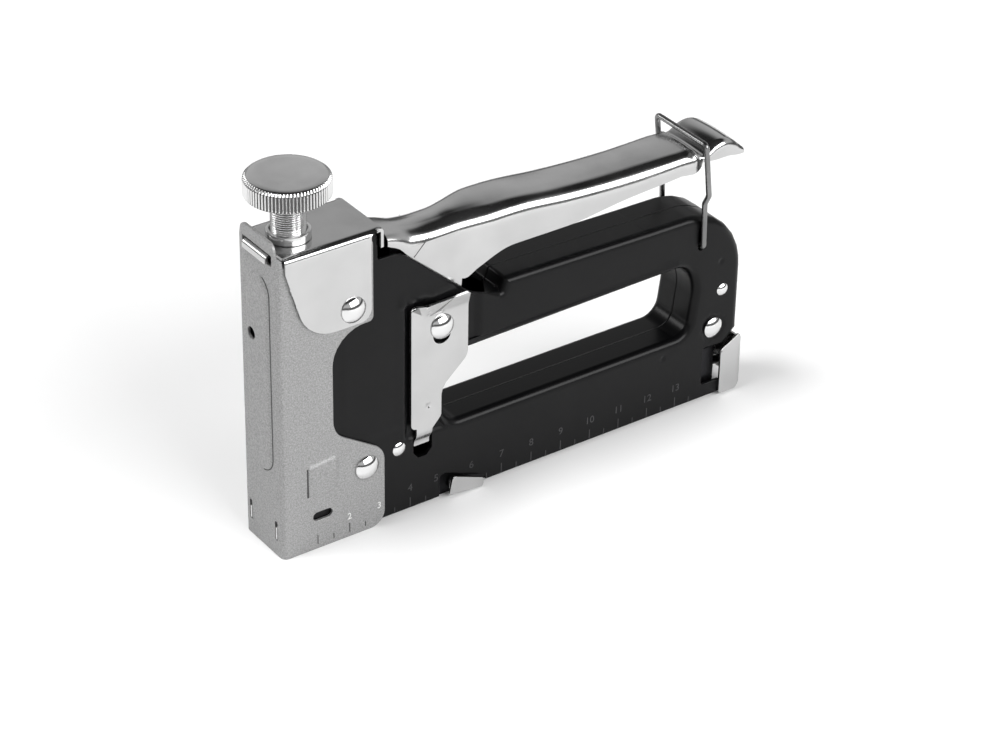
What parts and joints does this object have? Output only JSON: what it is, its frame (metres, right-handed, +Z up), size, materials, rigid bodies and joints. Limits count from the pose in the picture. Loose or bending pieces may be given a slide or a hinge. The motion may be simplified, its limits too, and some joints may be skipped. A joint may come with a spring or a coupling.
{
  "type": "staple gun",
  "caption": "Hand staple gun: squeeze lever over a closed grip, knurled spring-force screw, wire bail that locks the lever, and a rear-loading staple magazine between two pressed steel shells.",
  "frame": {"origin": "middle of the underside of the magazine channel, the flat face that the gun stands and works on, 75 mm behind the front of the nose", "axes": "+X from the nose to the tail, +Y to the side away from the retainer plate, +Z up"},
  "size_m": [0.1555, 0.0248, 0.1089],
  "materials": {
    "black_paint": "black stoved enamel on pressed steel, soft gloss",
    "nose_paint": "silver-grey fine-grain powder coat on pressed steel",
    "plated_sheet": "bright nickel-plated steel sheet",
    "plated_turned": "bright plated turned steel",
    "rivet_steel": "bright plated domed rivets",
    "wire_steel": "drawn spring steel wire, lightly oiled",
    "tool_steel": "hardened ground steel",
    "magazine_steel": "zinc-plated steel sheet",
    "buffer_rubber": "moulded black rubber"
  },
  "bodies": {
    "frame": {"left_shell": "black_paint", "right_shell": "black_paint", "nose_cover": "nose_paint", "top_bracket": "plated_sheet", "screw_bush": "plated_turned", "driver_guide": "plated_sheet", "shock_absorber": "buffer_rubber", "lever_pivot_pin": "rivet_steel", "lever_return_spring": "wire_steel", "main_spring": "wire_steel", "magazine_channel": "magazine_steel", "staple_rail": "magazine_steel", "upper_nose_rivet": "rivet_steel", "lower_nose_rivet": "rivet_steel", "frame_pin": "rivet_steel", "rear_rivet": "rivet_steel", "rear_small_rivet": "rivet_steel", "spacer_sleeves": "magazine_steel"},
    "lever": {"hand_lever": "plated_sheet", "lifter_arm": "tool_steel"},
    "bail": {"lock_bail": "wire_steel"},
    "plunger": {"plunger": "tool_steel", "driver_blade": "tool_steel"},
    "spring_seat": {"spring_seat": "tool_steel"},
    "adjusting_screw": {"adjusting_screw": "plated_turned"},
    "retainer": {"pin_retainer_plate": "plated_sheet"},
    "magazine_pull": {"rear_pull": "plated_sheet", "pusher_rod": "magazine_steel", "pusher_spring": "wire_steel"},
    "pusher": {"pusher": "magazine_steel"},
    "catch": {"magazine_catch": "plated_sheet"}
  },
  "joints": [
    {"name": "lever_hinge", "type": "hinge", "parent": "frame", "child": "lever", "pos_m": [-0.0256, 0, 0.0555], "axis": [0, -1, 0], "range_deg": [0, 20], "deforming": ["lever_return_spring"]},
    {"name": "plunger_slide", "type": "slide", "parent": "frame", "child": "plunger", "axis": [0, 0, -1], "range_m": [0, 0.0125], "deforming": ["main_spring"]},
    {"name": "bail_swing", "type": "hinge", "parent": "frame", "child": "bail", "pos_m": [0.0617, 0, 0.0515], "axis": [0, 1, 0], "range_deg": [0, 102], "deforming": ["lock_bail"]},
    {"name": "screw_advance", "type": "slide", "parent": "frame", "child": "spring_seat", "axis": [0, 0, -1], "range_m": [-0.00125, 0.0075]},
    {"name": "screw_turn", "type": "hinge", "parent": "spring_seat", "child": "adjusting_screw", "pos_m": [-0.0662, 0, 0.1], "axis": [0, 0, -1], "range_deg": [-370, 2180]},
    {"name": "retainer_slide", "type": "slide", "parent": "frame", "child": "retainer", "axis": [0, 0, 1], "range_m": [0, 0.0023]},
    {"name": "magazine_slide", "type": "slide", "parent": "frame", "child": "magazine_pull", "axis": [1, 0, 0], "range_m": [0, 0.12]},
    {"name": "pusher_slide", "type": "slide", "parent": "magazine_pull", "child": "pusher", "axis": [1, 0, 0], "range_m": [0, 0.095], "stiffness_N_per_m": 15, "springref_m": -0.04, "deforming": ["pusher_spring"]},
    {"name": "catch_bend", "type": "hinge", "parent": "frame", "child": "catch", "pos_m": [-0.0246, -0.0074, 0.0038], "axis": [0, 0, -1], "range_deg": [0, 8], "stiffness_Nm_per_rad": 0.02}
  ],
  "couplings": [
    {"joint": "plunger_slide", "follows": "lever_hinge", "m_per_rad": 0.03456},
    {"joint": "bail_swing", "follows": "lever_hinge", "ratio": 5},
    {"joint": "screw_turn", "follows": "screw_advance", "rad_per_m": 5026.5}
  ]
}
